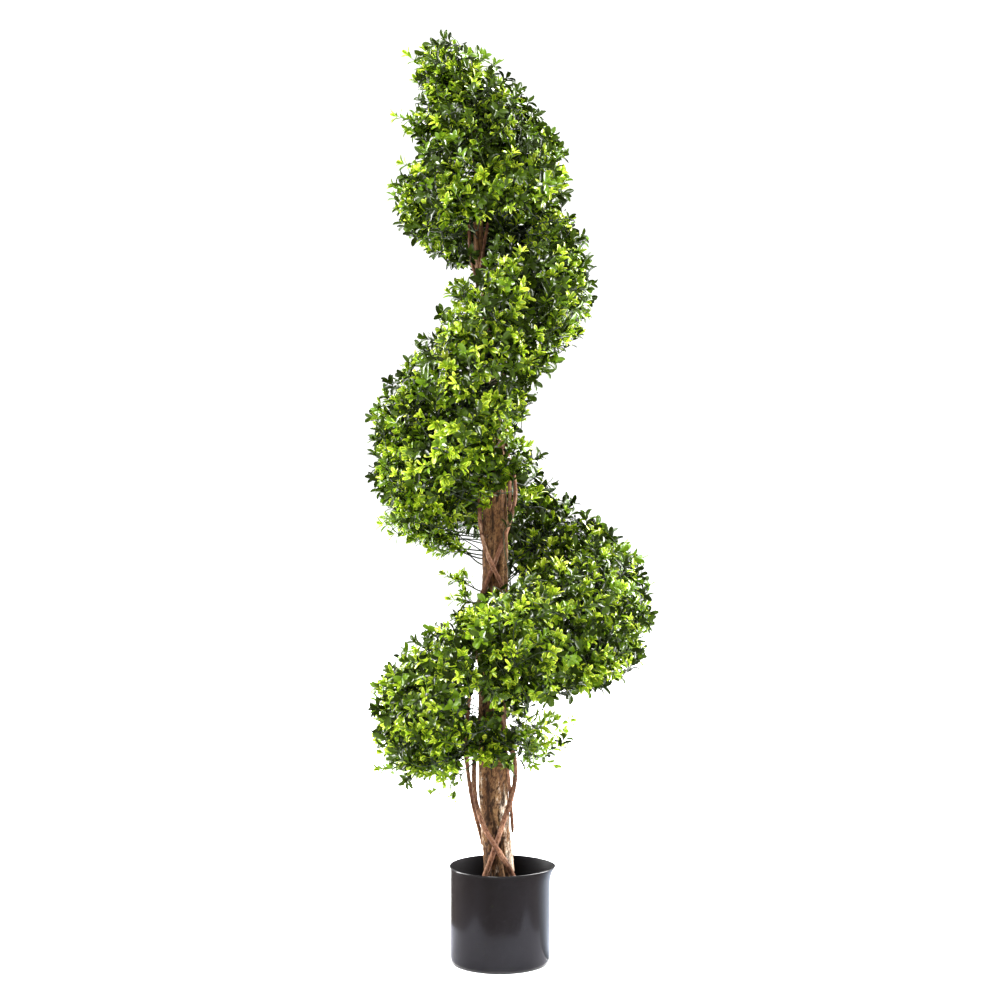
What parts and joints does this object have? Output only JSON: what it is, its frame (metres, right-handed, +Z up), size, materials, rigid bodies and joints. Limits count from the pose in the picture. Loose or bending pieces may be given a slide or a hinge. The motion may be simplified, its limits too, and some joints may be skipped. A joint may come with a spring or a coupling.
{
  "type": "artificial spiral topiary",
  "caption": "Potted artificial box topiary: a clipped foliage ribbon spirals up a bare wooden trunk with lianas wound round it, in a plain round black pot.",
  "frame": {"origin": "centre of the pot's flat underside", "axes": "+Z up through the plant, -Y towards the front, +X to the right seen from the front"},
  "size_m": [0.467, 0.419, 1.5],
  "materials": {
    "pot_plastic": "smooth glossy black plastic",
    "filling": "rough dark poured filling",
    "bark": "dry furrowed bark, greyish tan",
    "liana": "dry reddish brown bark",
    "foliage": "moulded plastic box leaves, dark green with lime tips"
  },
  "bodies": {
    "root": {"pot": "pot_plastic", "filling": "filling", "trunk": "bark", "liana_over": "liana", "liana_under": "liana", "liana_left": "liana", "liana_stub": "liana", "liana_inner": "liana", "foliage_foot": "foliage", "foliage_1_back": "foliage", "foliage_1_left": "foliage", "foliage_1_front": "foliage", "foliage_1_right": "foliage", "foliage_2_back": "foliage", "foliage_2_left": "foliage", "foliage_2_front": "foliage", "foliage_2_right": "foliage", "foliage_3_back": "foliage", "foliage_3_left": "foliage", "foliage_3_front": "foliage", "foliage_3_right": "foliage", "foliage_4_back": "foliage", "foliage_collar": "foliage", "foliage_upper_collar": "foliage", "foliage_tip": "foliage"}
  },
  "joints": []
}
